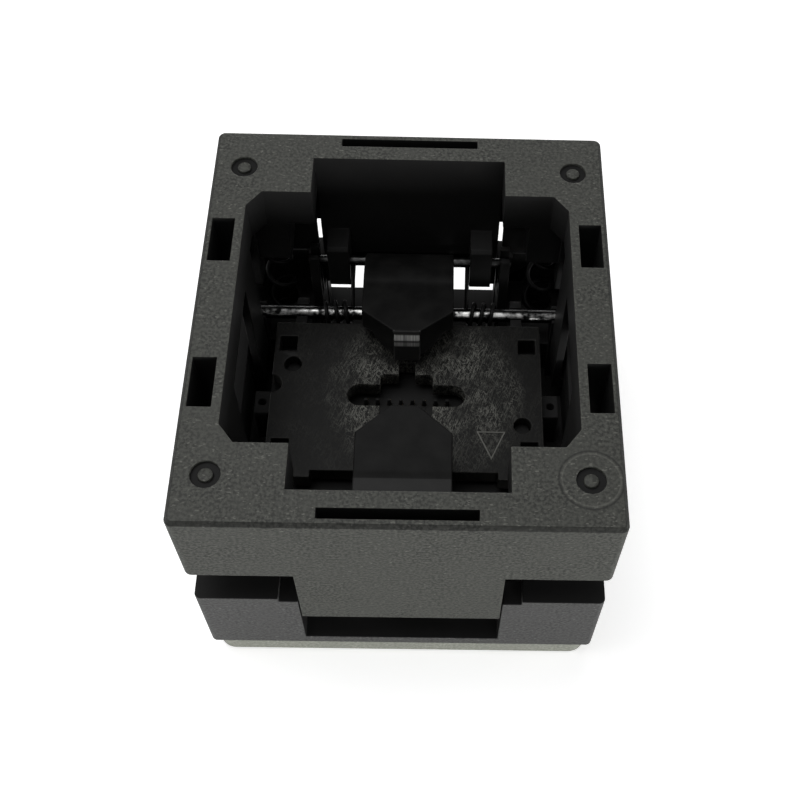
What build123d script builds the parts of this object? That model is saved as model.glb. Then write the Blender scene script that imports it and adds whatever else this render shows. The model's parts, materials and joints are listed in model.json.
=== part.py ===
from build123d import *
import os
from math import asin, atan, atan2, cos, degrees, hypot, pi, sin

# Open-top test socket for flat chip packages. A spring-loaded cover frame is pressed down,
# its two drive pins swing the front and rear latches open, and the package drops onto
# a floating nest plate above a block of stamped contacts.
# Millimetres. The origin is the centre of the underside, X is to the right,
# Y to the rear and Z up. The socket is modelled closed, with the cover up.

# Overall sizes
body_w = 32.0
body_d = 36.5
total_h = 24.7
travel = 4.4

# Clearances
stop_gap = 0.1
slide_gap = 0.1
fit_gap = 0.05
press_gap = 0.02
spring_gap = 0.06
lap = 0.5
past = 1.0

# Flat sides of the round forms that repeat and in which nothing turns
small_sides = 12
large_sides = 16

# Lower plate
plate_t = 2.4
plate_inset = 0.25
plate_corner_r = 1.5

# Base housing
rim_z = 11.6
floor_t = 1.1
wall = 2.05
base_corner_r = 0.5
cavity_chamfer = 1.2
notch_half = 8.0
rim_step_w = 1.5
rim_step_h = 0.5
corner_fill_z = 7.6

# Deck in the middle of the base, which carries the nest plate
deck_half_x = 11.8
deck_half_y = 8.2
deck_z = 10.4
deck_lip_t = 1.2
contact_block_half_x = 7.5
contact_block_half_y = 4.5
contact_block_step = 1.1

# Side ledges of the base, each with a block that has a small hole
side_ledge_half = 4.2
side_ledge_z = 6.2
side_block_x = 13.1
side_block_half = 1.1
side_block_z = 10.5
side_hole_x = 12.45
side_hole_y = 0.4
side_hole_r = 0.35
side_hole_depth = 1.5

# Cover frame
cover_top_t = 4.0
cover_corner_r = 0.6
cover_edge = 0.3
window_half_x = 13.0
window_half_y = 11.7
window_chamfer_x = 1.15
window_chamfer_y = 1.5
notch_reach = 15.4
tongue_z = 8.1
inner_skirt_t = 0.75
inner_skirt_z = 13.0
inner_skirt_gap = 0.2
inner_skirt_from_x = 8.3
inner_skirt_from_y = 11.2
core_slot_half = 5.66
core_slot_y = 16.75
core_slot_w = 0.85
core_slot_depth = 7.0
relief_in = 3.9
relief_out = 5.3
relief_z = 12.5

# Snap legs of the cover, below the four slots in its side rails
leg_y = 6.65
leg_half = 2.05
leg_t = 0.7
leg_slot_w = 1.8
leg_slot_half = 2.15
leg_z = 7.0
leg_gap = 0.15
barb_h = 1.4
barb_reach = 1.2
barb_slope = 0.6

# Dimples in the cover's corners, each with a moulded nub
dimple_x = 13.5
dimple_y = 14.3
dimple_r = 1.1
dimple_depth = 0.35
nub_r = 0.55
nub_drop = 0.1

# Latches and their pins
latch_half = 3.9
nose_half = 1.1
nose_y = 3.05
nose_z = 13.3
nose_back_y = 4.5
nose_face_z = 15.4
nose_top_y = 3.6
nose_top_z = 16.9
taper_y = 5.95
arch_y = 5.3
arch_z = 14.4
heel_y = 7.6
heel_z = 13.2
bend_y = 9.0
bend_z = 16.1
shaft_y = 9.8
shaft_z = 10.75
shaft_r = 0.6
shaft_half = 13.9
bearing_gap = 0.05
barrel_r = 1.5
neck_y = 8.1
neck_z = 12.05
drive_y = 13.7
drive_z = 13.5
drive_r = 0.4
drive_half = 9.1
fork_gap = 0.25
tine_t = 0.75

# Bosses of the cover, which hold the drive pins
boss_in = 5.4
boss_out = 7.3
boss_front_y = 12.9
boss_low_z = 10.6
boss_high_z = 15.85
boss_edge = 0.3

# Guide posts of the base, which steer the ends of the drive pins
post_in = 8.1
post_w = 0.85
post_wall = 0.5
post_rise = 0.2

# Ribs of the base, which carry the pivot shafts
inner_rib_x = 9.1
inner_rib_w = 1.0
inner_rib_depth = 3.0
outer_rib_w = 1.1
outer_rib_half = 0.95
rib_rise = 0.35

# Springs
cover_spring_x = 11.9
cover_spring_y = 14.1
cover_spring_r = 1.12
cover_spring_wire = 0.45
cover_spring_turns = 4
cover_bore_z = 5.0
cover_seat_z = 19.6
cover_seat_wall = 0.3
torsion_x = 5.1
torsion_r = 1.0
torsion_wire = 0.4
torsion_full_turns = 3
torsion_pitch = 0.9
ground_leg = 2.6
ground_hole_y = 7.0
nest_spring_r = 0.9
nest_spring_wire = 0.25
nest_spring_turns = 3
nest_bore_z = 7.6
coil_runs = 10

# Nest plate
nest_half_x = 11.5
nest_half_y = 7.35
nest_t = 1.6
nest_z = 12.6
nest_float = 0.4
nest_slot_half = 5.0
nest_slot_r = 1.05
nest_window_half_x = 2.25
nest_window_half_y = 2.1
nest_window_r = 0.4
nest_gap_half_x = 0.7
nest_gap_half_y = 3.3
nest_bite_r = 0.9
nest_bite_y = 1.0
nest_hole_r = 0.75
guide_x = 9.8
guide_left_y = 3.0
guide_right_y = -2.8
guide_pin_r = 0.7
guide_pin_z = 11.6
nest_notch_in = 9.6
nest_notch_out = 11.1
nest_notch_y = 5.15
nest_notch_half = 0.75
nest_leg_t = 0.7
nest_leg_len = 2.4
nest_barb = 0.5
nest_barb_h = 0.6
tab_len = 0.65
tab_w = 1.4
tab_x = 8.4

# Contacts
contact_count = 8
contact_pitch = 1.0
contact_row_y = 0.5
contact_t = 0.24
contact_w = 0.3
contact_bow = 0.8
contact_low = 1.2
contact_high = 0.8
contact_tip_z = 11.1
contact_gap = 0.04
chamber_gap = 0.2

# Fasteners and interfaces of the underside
screw_x = 13.8
screw_y = 16.0
screw_r = 0.8
screw_len = 6.5
screw_tip_gap = 0.3
screw_head_r = 1.4
screw_head_h = 0.8
driver_half = 0.35
driver_depth = 0.5
mount_x = 13.6
mount_y = 10.2
mount_r = 0.8
mount_depth = 5.5
mount_wall = 0.4
locator_x = 13.5
locator_r = 0.76
locator_depth = 4.5

# Sizes that follow from the ones above
half_w = body_w / 2
half_d = body_d / 2
floor_z = plate_t + floor_t
cavity_x = half_w - wall
cavity_y = half_d - wall
skirt_z = rim_z + travel + stop_gap
cover_under_z = total_h - cover_top_t
tongue_half = notch_half - slide_gap
skirt_out_x = cavity_x - inner_skirt_gap
skirt_out_y = cavity_y - inner_skirt_gap
inner_chamfer = cavity_chamfer - inner_skirt_t * (2 - 2 ** 0.5)
leg_root_x = window_half_x + leg_t
nest_under_z = nest_z - nest_t
nest_leg_z = nest_under_z - nest_leg_len
lip_z = deck_z - deck_lip_t
cover_bore_r = cover_spring_r + cover_spring_wire / 2 + spring_gap
cover_seat_half = cover_bore_r + cover_seat_wall
nest_bore_r = nest_spring_r + nest_spring_wire / 2 + spring_gap
drive_slot_r = drive_r + slide_gap / 2
drive_rise = drive_z - shaft_z
drive_run = drive_y - shaft_y
drive_arm = hypot(drive_rise, drive_run)
drive_angle = atan2(drive_rise, drive_run)
torsion_lean = drive_angle + asin((torsion_r - drive_r - torsion_wire / 2 - fit_gap) / drive_arm)
torsion_turns = torsion_full_turns + degrees(torsion_lean) / 360
ground_leg_x = torsion_x + torsion_turns * torsion_pitch
above = total_h + past
SIDES = (-1, 1)
QUARTERS = ("rear_right", "rear_left", "front_right", "front_left")


def block(x, y, z):
    """A box from its low and high value along each axis."""
    size = [high - low for low, high in (x, y, z)]
    middle = [(low + high) / 2 for low, high in (x, y, z)]
    return Pos(*middle) * Box(*size)


def span(side, low, high):
    """A stretch from low to high on one side of a middle plane."""
    return tuple(sorted((side * low, side * high)))


def around(middle, half):
    """A stretch of half a width to either side of a middle."""
    return (middle - half, middle + half)


def tube_hole(x, y, radius, low, high):
    """An upright cylinder between two heights."""
    return Pos(x, y, (low + high) / 2) * Cylinder(radius, high - low)


def flat_sided(x, y, radius, low, high, sides=small_sides):
    """An upright prism between two heights, in place of a cylinder."""
    return extrude(Pos(x, y, low) * RegularPolygon(radius, sides), high - low)


def flat_sided_taper(x, y, low_r, high_r, height):
    """A taper with flat sides that stands on the underside, in place of a cone."""
    slope = atan((low_r - high_r) * cos(pi / small_sides) / height)
    return extrude(Pos(x, y, 0) * RegularPolygon(low_r, small_sides), height, taper=degrees(slope))


def across(y, z, radius, half):
    """A cylinder along X, centred on the middle plane."""
    return Pos(0, y, z) * Rot(0, 90, 0) * Cylinder(radius, 2 * half)


def upright(outline, low, high):
    """A prism on a plan outline."""
    face = Plane.XY.offset(low) * make_face(Polyline(*outline, close=True))
    return extrude(face, high - low, dir=(0, 0, 1))


def cut_corners(half_x, half_y, chamfer_x, chamfer_y):
    """The plan outline of a rectangle with cut corners."""
    quarter = [(half_x, half_y - chamfer_y), (half_x - chamfer_x, half_y)]
    upper = quarter + [(-x, y) for x, y in reversed(quarter)]
    return upper + [(-x, -y) for x, y in upper]


def four_ways(shape):
    """A shape of the rear right quarter, and its mirror images in the other three."""
    left = mirror(shape, about=Plane.YZ)
    return [shape, left, mirror(shape, about=Plane.XZ), mirror(left, about=Plane.XZ)]


def corners(x, y):
    """Four places, in the order of the quarters."""
    return [(x, y), (-x, y), (x, -y), (-x, -y)]


def hook(root_x, reach, low, height, along):
    """A barb to the right, with a sloping lower face and a flat catching face on top."""
    outline = [(root_x - lap, low), (root_x, low), (root_x + reach, low + height * barb_slope),
               (root_x + reach, low + height), (root_x - lap, low + height)]
    face = Plane.XZ.offset(-along[0]) * make_face(Polyline(*outline, close=True))
    return extrude(face, along[1] - along[0], dir=(0, 1, 0))


def contact_places():
    """The middle of each contact, and the side to which it bows."""
    for side in SIDES:
        for i in range(contact_count):
            yield (i - (contact_count - 1) / 2) * contact_pitch, side * contact_row_y, side


def guide_places():
    """The two guide pins of the nest plate."""
    return [(-guide_x, guide_left_y), (guide_x, guide_right_y)]


# Lower plate: a flat board-side plate that closes the base and keeps the contacts in
def make_lower_plate():
    half_x, half_y = half_w - plate_inset, half_d - plate_inset
    plate = block((-half_x, half_x), (-half_y, half_y), (0, plate_t))
    plate = fillet(plate.edges().filter_by(Axis.Z), plate_corner_r)
    through = (-past, plate_t + past)
    row_half = (contact_count - 1) / 2 * contact_pitch + contact_w / 2 + contact_gap
    for side in SIDES:
        row_y = around(side * contact_row_y, contact_t / 2 + contact_gap)
        plate -= block(around(0, row_half), row_y, through)
    hole_r = screw_r + slide_gap
    for x, y in corners(screw_x, screw_y):
        plate -= flat_sided(x, y, hole_r, *through)
        plate -= flat_sided_taper(x, y, screw_head_r + fit_gap, hole_r, screw_head_h)
    for x, y in corners(mount_x, mount_y):
        plate -= tube_hole(x, y, mount_r, *through)
    for side in SIDES:
        plate -= tube_hole(side * locator_x, 0, locator_r, *through)
    return plate


# Countersunk screws: they hold the lower plate to the base from below
def make_plate_screws():
    screws = []
    for x, y in corners(screw_x, screw_y):
        shank = flat_sided(x, y, screw_r, screw_head_h / 2, screw_len)
        head = flat_sided_taper(x, y, screw_head_r, screw_r, screw_head_h)
        recess = block(around(x, driver_half), around(y, driver_half), (-past, driver_depth))
        screws.append(shank + head - recess)
    return screws


# Base housing: a moulded tray with a deck for the nest, four filled corners and the shaft ribs
def make_base():
    base = block((-half_w, half_w), (-half_d, half_d), (plate_t, rim_z))
    base = fillet(base.edges().filter_by(Axis.Z), base_corner_r)
    base -= upright(cut_corners(cavity_x, cavity_y, cavity_chamfer, cavity_chamfer), floor_z, above)
    base += block((-deck_half_x, deck_half_x), (-deck_half_y, deck_half_y), (plate_t, deck_z))
    for side in SIDES:
        through = span(side, cavity_y - past, half_d + past)
        base -= block((-notch_half, notch_half), through, (floor_z, above))
        base -= block(around(0, notch_half + rim_step_w), through, (rim_z - rim_step_h, above))
        base += block(span(side, deck_half_x - lap, cavity_x + lap), around(0, side_ledge_half),
                      (plate_t, side_ledge_z))
        base += block(span(side, deck_half_x - lap, side_block_x), around(side_hole_y, side_block_half),
                      (plate_t, side_block_z))
        hole_z = side_block_z - side_hole_depth
        base -= flat_sided(side * side_hole_x, side_hole_y, side_hole_r, hole_z, above)
    base += four_ways(corner_of_base())
    base -= base_bores()
    base -= contact_pocket()
    return base


def corner_of_base():
    """Filled corner, guide post and shaft ribs of the rear right quarter."""
    low = plate_t + floor_t / 2
    fill_y = mount_y - mount_r - mount_wall
    post_half = drive_slot_r + post_wall
    outline = [(post_in, drive_y - post_half), (deck_half_x, deck_half_y - lap), (deck_half_x, fill_y),
               (cavity_x + lap, fill_y), (cavity_x + lap, cavity_y + lap), (post_in, cavity_y + lap)]
    corner = upright(outline, low, corner_fill_z)
    corner += block((post_in, post_in + post_w), around(drive_y, post_half),
                    (low, drive_z + post_half + post_rise))
    rib_z = (low, shaft_z + rib_rise)
    corner += block((inner_rib_x, inner_rib_x + inner_rib_w),
                    (deck_half_y - slide_gap, deck_half_y + inner_rib_depth), rib_z)
    corner += block((cavity_x - outer_rib_w, cavity_x + lap), around(shaft_y, outer_rib_half), rib_z)
    slot_low = drive_z - travel - drive_r - stop_gap
    corner -= block((post_in - past, post_in + post_w + slide_gap), around(drive_y, drive_slot_r),
                    (slot_low, above))
    seat_r = shaft_r + fit_gap
    seat = (inner_rib_x - past, shaft_half + slide_gap)
    corner -= block(seat, around(shaft_y, seat_r), (shaft_z, above))
    round_seat = Plane.YZ.offset(seat[0]) * Pos(shaft_y, shaft_z) * RegularPolygon(seat_r, small_sides)
    corner -= extrude(round_seat, seat[1] - seat[0], dir=(1, 0, 0))
    return corner


def base_bores():
    """Spring bores, pockets of the legs, and the holes of the deck and underside."""
    cuts = four_ways(leg_pockets())
    for x, y in corners(cover_spring_x, cover_spring_y):
        cuts.append(flat_sided(x, y, cover_bore_r, cover_bore_z, above, large_sides))
    for x, y in corners(screw_x, screw_y):
        cuts.append(flat_sided(x, y, screw_r + press_gap, plate_t - past, screw_len + screw_tip_gap))
    for x, y in corners(mount_x, mount_y):
        cuts.append(tube_hole(x, y, mount_r, plate_t - past, mount_depth))
    for side in SIDES:
        cuts.append(tube_hole(side * locator_x, 0, locator_r, plate_t - past, locator_depth))
    for x, y in guide_places():
        cuts.append(flat_sided(x, y, guide_pin_r + fit_gap, floor_z, above))
        cuts.append(flat_sided(x, y, nest_bore_r, nest_bore_z, above, large_sides))
    return cuts


def leg_pockets():
    """Space for a snap leg of the cover, a leg of the nest plate and the end of a torsion spring."""
    near, wide = window_half_x - leg_gap, leg_root_x + barb_reach + leg_gap
    along = around(leg_y, leg_half + leg_gap)
    pockets = block((near, wide), along, (plate_t - past, leg_z + barb_h + fit_gap))
    pockets += block((near, cavity_x), along, (floor_z, above))
    near = nest_notch_in - nest_leg_t - leg_gap
    along = around(nest_notch_y, nest_notch_half + leg_gap / 2)
    under = nest_leg_z - nest_float - leg_gap
    pockets += block((near, nest_notch_in + leg_gap), along, (under, above))
    barb_top = nest_leg_z + nest_barb_h + fit_gap
    pockets += block((near, nest_notch_in + nest_barb + leg_gap), along, (under, barb_top))
    ground_half = torsion_wire / 2 + spring_gap
    pockets += block(around(ground_leg_x, ground_half), (ground_hole_y, deck_half_y + past),
                     around(shaft_z - torsion_r, ground_half))
    return pockets


def contact_pocket():
    """The stepped opening of the deck for the contact block."""
    x, y = contact_block_half_x + fit_gap, contact_block_half_y + fit_gap
    lower = block(around(0, x), around(0, y), (plate_t - past, lip_z))
    upper = block(around(0, x - contact_block_step), around(0, y - contact_block_step), (plate_t, above))
    return lower + upper


# Contact block: a stepped moulding under the deck's lip, with one chamber for each contact
def make_contact_block():
    x, y = contact_block_half_x, contact_block_half_y
    made = block(around(0, x), around(0, y), (plate_t, lip_z - fit_gap))
    made += block(around(0, x - contact_block_step), around(0, y - contact_block_step),
                  (plate_t, deck_z - slide_gap))
    half_t = contact_t / 2 + contact_gap
    bow_z = (plate_t + contact_low - chamber_gap, lip_z - contact_high + chamber_gap)
    chambers = []
    for cx, cy, side in contact_places():
        slot_x = around(cx, contact_w / 2 + contact_gap)
        chambers.append(block(slot_x, around(cy, half_t), (plate_t - past, above)))
        bow_y = sorted((cy - side * half_t, cy + side * (half_t + contact_bow)))
        chambers.append(block(slot_x, bow_y, bow_z))
    return made - chambers


# Contacts: stamped strips with a bow that gives, flush with the underside
def make_contacts():
    low, high = plate_t + contact_low, lip_z - contact_high
    middle = (low + high) / 2
    strips = []
    for cx, cy, side in contact_places():
        path = [(cy, 0), (cy, low), (cy + side * contact_bow, middle), (cy, high), (cy, contact_tip_z)]
        near = [(y - contact_t / 2, z) for y, z in path]
        far = [(y + contact_t / 2, z) for y, z in reversed(path)]
        face = Plane.YZ.offset(cx - contact_w / 2) * make_face(Polyline(*near, *far, close=True))
        strips.append(extrude(face, contact_w, dir=(1, 0, 0)))
    return strips


# Nest plate: the floating floor on which the package rests
def make_nest():
    nest = block(around(0, nest_half_x), around(0, nest_half_y), (nest_under_z, nest_z))
    for side in SIDES:
        nest += block(around(side * tab_x, tab_w / 2), (-nest_half_y - tab_len, lap - nest_half_y),
                      (nest_under_z, nest_z))
    below = Plane.XY.offset(nest_under_z - past)
    slot = extrude(below * SlotOverall(2 * nest_slot_half, 2 * nest_slot_r), nest_t + 2 * past)
    window = Rectangle(2 * nest_window_half_x, 2 * nest_window_half_y)
    window = extrude(below * fillet(window.vertices(), nest_window_r), nest_t + 2 * past)
    middle = block(around(0, nest_gap_half_x), around(0, nest_gap_half_y), (nest_under_z - past, above))
    bite = tube_hole(-nest_half_x, nest_bite_y, nest_bite_r, nest_under_z - past, above)
    nest -= [slot, window, middle, bite]
    for x, y in guide_places():
        nest -= tube_hole(x, y, nest_hole_r, nest_under_z - past, above)
    along = around(nest_notch_y, nest_notch_half)
    nest -= four_ways(block((nest_notch_in, nest_notch_out), along, (nest_under_z - past, above)))
    leg = block((nest_notch_in - nest_leg_t, nest_notch_in), along, (nest_leg_z, nest_under_z + lap))
    return nest + four_ways(leg + hook(nest_notch_in, nest_barb, nest_leg_z, nest_barb_h, along))


# Guide pins of the nest plate, pressed into the deck
def make_guide_pins():
    return [tube_hole(x, y, guide_pin_r, floor_z, guide_pin_z) for x, y in guide_places()]


# Cover frame: the moulded frame that is pressed down, with its tongues, skirts, bosses and snap legs
def make_cover():
    cover = block((-half_w, half_w), (-half_d, half_d), (skirt_z, total_h))
    cover = fillet(cover.edges().filter_by(Axis.Z), cover_corner_r)
    cover = chamfer(cover.faces().sort_by(Axis.Z)[-1].edges(), cover_edge)
    cover -= block((-cavity_x, cavity_x), (-cavity_y, cavity_y), (skirt_z - past, cover_under_z))
    cover += four_ways(corner_of_cover())
    cover -= window_cut()
    cover += [tongue() - tongue_relief(), mirror(tongue(), about=Plane.XZ)]
    slot = block(around(0, core_slot_half), (core_slot_y, core_slot_y + core_slot_w),
                 (total_h - core_slot_depth, above))
    cover -= [slot, mirror(slot, about=Plane.XZ)]
    cover -= four_ways(block((leg_root_x, leg_root_x + leg_slot_w), around(leg_y, leg_slot_half),
                             (skirt_z - past, above)))
    cover += four_ways(snap_leg())
    for x, y in corners(dimple_x, dimple_y):
        dimple_z = total_h - dimple_depth
        cover -= flat_sided(x, y, dimple_r, dimple_z, above, large_sides)
        cover += flat_sided(x, y, nub_r, dimple_z - lap, total_h - nub_drop)
    return cover


def window_cut():
    """The opening in the cover's top: a rectangle with cut corners and a notch over each latch."""
    middle = upright(cut_corners(window_half_x, window_half_y, window_chamfer_x, window_chamfer_y),
                     cover_under_z - lap, above)
    return middle + block(around(0, tongue_half), around(0, notch_reach), (skirt_z - past, above))


def corner_of_cover():
    """Spring seat and inner skirt of the rear right corner, with the bore that guides the spring."""
    top = cover_under_z + lap
    seat_x = (cover_spring_x - cover_seat_half, window_half_x + lap)
    seat = block(seat_x, (window_half_y, skirt_out_y), (skirt_z, top))
    outer = upright(cut_corners(skirt_out_x, skirt_out_y, cavity_chamfer, cavity_chamfer), inner_skirt_z, top)
    root = upright(cut_corners(cavity_x + lap, cavity_y + lap, cavity_chamfer, cavity_chamfer), skirt_z, top)
    inner = upright(cut_corners(skirt_out_x - inner_skirt_t, skirt_out_y - inner_skirt_t,
                                inner_chamfer, inner_chamfer), inner_skirt_z - past, above)
    quarter = block((inner_skirt_from_x, half_w), (inner_skirt_from_y, half_d), (0, top))
    made = seat + ((outer + root - inner) & quarter)
    bore_z = (inner_skirt_z - past, cover_seat_z)
    return made - flat_sided(cover_spring_x, cover_spring_y, cover_bore_r, *bore_z, large_sides)


def tongue():
    """The rear tab that runs down in the base's notch, with the two bosses of its drive pin."""
    made = block(around(0, tongue_half), (notch_reach, half_d), (tongue_z, total_h - cover_edge))
    for i in SIDES:
        boss = block(span(i, boss_in, boss_out), (boss_front_y, notch_reach + lap), (boss_low_z, boss_high_z))
        made += chamfer(boss.edges().filter_by(Axis.X).group_by(Axis.Y)[0], boss_edge)
    return made - across(drive_y, drive_z, drive_r + press_gap, tongue_half)


def tongue_relief():
    """Two notches in the rear tab's lower edge, beside the latch."""
    through = (notch_reach - past, half_d + past)
    return [block(span(i, relief_in, relief_out), through, (tongue_z - past, relief_z)) for i in SIDES]


def snap_leg():
    """The rear right leg and its barb, below a slot of the side rail."""
    along = around(leg_y, leg_half)
    leg = block((window_half_x, leg_root_x), along, (leg_z, cover_under_z + lap))
    return leg + hook(leg_root_x, barb_reach, leg_z, barb_h, along)


# Latches: a nose over the package, a barrel on the pivot shaft and a fork round the drive pin
def make_latch():
    def on_arm(along, aside):
        y = shaft_y + along * cos(drive_angle) - aside * sin(drive_angle)
        z = shaft_z + along * sin(drive_angle) + aside * cos(drive_angle)
        return y, z

    slot_r = drive_r + fork_gap
    tine_out = slot_r + tine_t
    tail_r = hypot(bend_y - shaft_y, bend_z - shaft_z)
    tail_low = on_arm((tail_r ** 2 - tine_out ** 2) ** 0.5, -tine_out)
    turn_mid = (atan2(bend_z - shaft_z, bend_y - shaft_y) + drive_angle) / 2
    tail_mid = (shaft_y + tail_r * cos(turn_mid), shaft_z + tail_r * sin(turn_mid))
    with BuildSketch(Plane.YZ) as side_view:
        with BuildLine():
            Polyline((nose_y, nose_z), (nose_y, nose_face_z), (nose_top_y, nose_top_z), (bend_y, bend_z))
            ThreePointArc((bend_y, bend_z), tail_mid, tail_low)
            Polyline(tail_low, on_arm(0, -tine_out), (shaft_y - barrel_r, shaft_z), (neck_y, neck_z),
                     (heel_y, heel_z), (arch_y, arch_z), (nose_back_y, nose_z), (nose_y, nose_z))
        make_face()
        with Locations((shaft_y, shaft_z)):
            Circle(barrel_r)
    latch = extrude(side_view.sketch, latch_half, both=True)
    latch -= across(shaft_y, shaft_z, shaft_r + bearing_gap, latch_half + past)
    slot_start = drive_run - fork_gap / 2
    slot = Box(2 * (latch_half + past), 2 * tail_r, 2 * slot_r)
    latch -= Pos(0, *on_arm(slot_start + tail_r, 0)) * Rot(degrees(drive_angle), 0, 0) * slot
    latch -= across(*on_arm(slot_start, 0), slot_r, latch_half + past)
    nose_plan = [(nose_half, 0), (nose_half, nose_top_y), (latch_half, taper_y), (latch_half, half_d)]
    return latch & upright(nose_plan + [(-x, y) for x, y in reversed(nose_plan)], 0, above)


def coil(radius, wire, turns, height):
    """An open coil about Z from height 0, of square wire in short straight runs."""
    curve = Helix(pitch=height / turns, height=height, radius=radius)
    runs = round(turns * coil_runs)
    path = Polyline(*[curve @ (i / runs) for i in range(runs + 1)])
    section = Plane(origin=path @ 0, z_dir=path % 0) * RegularPolygon(wire / 2, 4)
    return sweep(section, path=path, transition=Transition.RIGHT)


# Cover springs: they lift the cover frame off the base
def make_cover_spring(x, y):
    height = cover_seat_z - cover_bore_z - cover_spring_wire
    spring = coil(cover_spring_r, cover_spring_wire, cover_spring_turns, height)
    return Pos(x, y, cover_bore_z + cover_spring_wire / 2) * spring


# Nest springs: they hold the nest plate up, round its guide pins
def make_nest_spring(x, y):
    height = nest_under_z - nest_bore_z - nest_spring_wire
    spring = coil(nest_spring_r, nest_spring_wire, nest_spring_turns, height)
    return Pos(x, y, nest_bore_z + nest_spring_wire / 2) * spring


# Torsion springs: coiled on the pivot shafts, with one leg under the drive pin and one in the deck
def make_torsion_spring():
    height = ground_leg_x - torsion_x
    side = torsion_wire / 2 ** 0.5
    wound = mirror(coil(torsion_r, torsion_wire, torsion_turns, height), about=Plane.XZ)
    arm_len = drive_arm + drive_r
    pin_leg = Pos(torsion_r, (arm_len - side) / 2, 0) * Box(side, arm_len + side, side)
    end_leg = Pos(torsion_r, (side - ground_leg) / 2, height) * Box(side, ground_leg + side, side)
    spring = wound + pin_leg + Rot(0, 0, -360 * (torsion_turns % 1)) * end_leg
    leg_side = (0, sin(torsion_lean), -cos(torsion_lean))
    return Plane(origin=(torsion_x, shaft_y, shaft_z), x_dir=leg_side, z_dir=(1, 0, 0)) * spring


def export(name, shape):
    """One file for each sub-part; a list becomes one group of separate solids."""
    export_step(Compound(children=shape) if isinstance(shape, list) else shape, f"parts/{name}.step")


os.makedirs("parts", exist_ok=True)
export("lower_plate", make_lower_plate())
export("plate_screws", make_plate_screws())
export("base_housing", make_base())
export("contact_block", make_contact_block())
export("contacts", make_contacts())
export("nest_guide_pins", make_guide_pins())
export("nest_plate", make_nest())
export("cover_frame", make_cover())
rear_pieces = {
    "latch": make_latch(),
    "pivot_shaft": across(shaft_y, shaft_z, shaft_r, shaft_half),
    "drive_pin": across(drive_y, drive_z, drive_r, drive_half),
}
for piece, shape in rear_pieces.items():
    export(f"{piece}_rear", shape)
    export(f"{piece}_front", mirror(shape, about=Plane.XZ))
for place, (x, y) in zip(("left", "right"), guide_places()):
    export(f"nest_spring_{place}", make_nest_spring(x, y))
for quarter, torsion_spring, (x, y) in zip(
        QUARTERS, four_ways(make_torsion_spring()), corners(cover_spring_x, cover_spring_y)):
    export(f"torsion_spring_{quarter}", torsion_spring)
    export(f"cover_spring_{quarter}", make_cover_spring(x, y))
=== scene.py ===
# %% [markdown]
# # A press-down test socket for chip packages
# This lesson dresses a finished mechanical model in Blender. The solid shapes come packed
# from a CAD program: a base, a spring-loaded cover frame, two swinging latches, a floating
# nest plate and the springs and pins between them. Here they get a camera, a plain studio,
# rounded edges, round-wire springs, recessed screws, and the finishes and wear of real use,
# with some shade, sheen and highlight painted into those finishes.

# %% Load the imported model
import bmesh
import bpy
import json
from math import cos, pi, radians, sin
from mathutils import Matrix, Vector

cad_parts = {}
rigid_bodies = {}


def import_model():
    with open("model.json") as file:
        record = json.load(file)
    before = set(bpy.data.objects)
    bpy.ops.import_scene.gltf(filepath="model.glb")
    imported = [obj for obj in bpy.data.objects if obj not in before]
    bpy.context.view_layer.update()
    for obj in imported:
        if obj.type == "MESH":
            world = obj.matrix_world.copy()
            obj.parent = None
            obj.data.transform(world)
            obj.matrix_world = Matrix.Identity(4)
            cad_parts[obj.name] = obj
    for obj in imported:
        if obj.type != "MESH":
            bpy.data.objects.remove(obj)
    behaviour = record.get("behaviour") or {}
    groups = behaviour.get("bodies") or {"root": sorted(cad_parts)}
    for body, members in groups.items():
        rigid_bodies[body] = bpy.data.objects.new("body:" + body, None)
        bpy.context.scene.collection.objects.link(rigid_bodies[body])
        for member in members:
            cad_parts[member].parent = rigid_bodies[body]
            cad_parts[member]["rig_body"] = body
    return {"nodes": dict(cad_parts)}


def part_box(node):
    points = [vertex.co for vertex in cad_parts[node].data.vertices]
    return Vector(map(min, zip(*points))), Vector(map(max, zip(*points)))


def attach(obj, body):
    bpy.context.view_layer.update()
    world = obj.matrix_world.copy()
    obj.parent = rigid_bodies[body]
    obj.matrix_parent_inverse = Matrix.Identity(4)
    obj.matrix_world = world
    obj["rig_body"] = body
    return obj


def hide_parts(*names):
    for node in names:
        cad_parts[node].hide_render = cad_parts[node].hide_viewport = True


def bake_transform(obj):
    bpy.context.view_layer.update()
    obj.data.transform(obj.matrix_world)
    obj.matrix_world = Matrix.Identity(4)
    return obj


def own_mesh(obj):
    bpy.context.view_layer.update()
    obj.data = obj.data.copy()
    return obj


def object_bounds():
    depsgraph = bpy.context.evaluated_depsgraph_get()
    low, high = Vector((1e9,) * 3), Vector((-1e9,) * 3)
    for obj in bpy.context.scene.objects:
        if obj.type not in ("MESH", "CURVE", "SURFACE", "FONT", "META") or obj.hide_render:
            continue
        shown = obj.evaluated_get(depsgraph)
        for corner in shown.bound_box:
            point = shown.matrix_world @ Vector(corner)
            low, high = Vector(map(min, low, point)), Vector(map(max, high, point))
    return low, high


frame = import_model()
cad_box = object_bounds()
mm = 0.001
low_corner, high_corner = (Vector(corner) for corner in cad_box)
width, depth, height = high_corner - low_corner
print(f"socket {width / mm:.1f} x {depth / mm:.1f} x {height / mm:.1f} mm")
print(len(frame["nodes"]), "CAD nodes")

# %% [markdown]
# ## The camera
# The photograph looks down on the socket from the front at about sixty degrees. Its place
# was worked out from the straight edges of the cover, counted in cover widths, so that it
# would still fit if the socket were another size. The picture is cropped a little off its
# middle, which Blender copies with a small lens shift.

# %% Place the camera
image_px = 800
sensor_mm = 36.0
focal_px = 1177.4
crop_px = (55.5, 26.0)
eye_widths = (0.0746, -1.6568, 3.0429)
yaw, pitch, roll = radians(2.067), radians(-59.42), radians(2.724)

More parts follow.
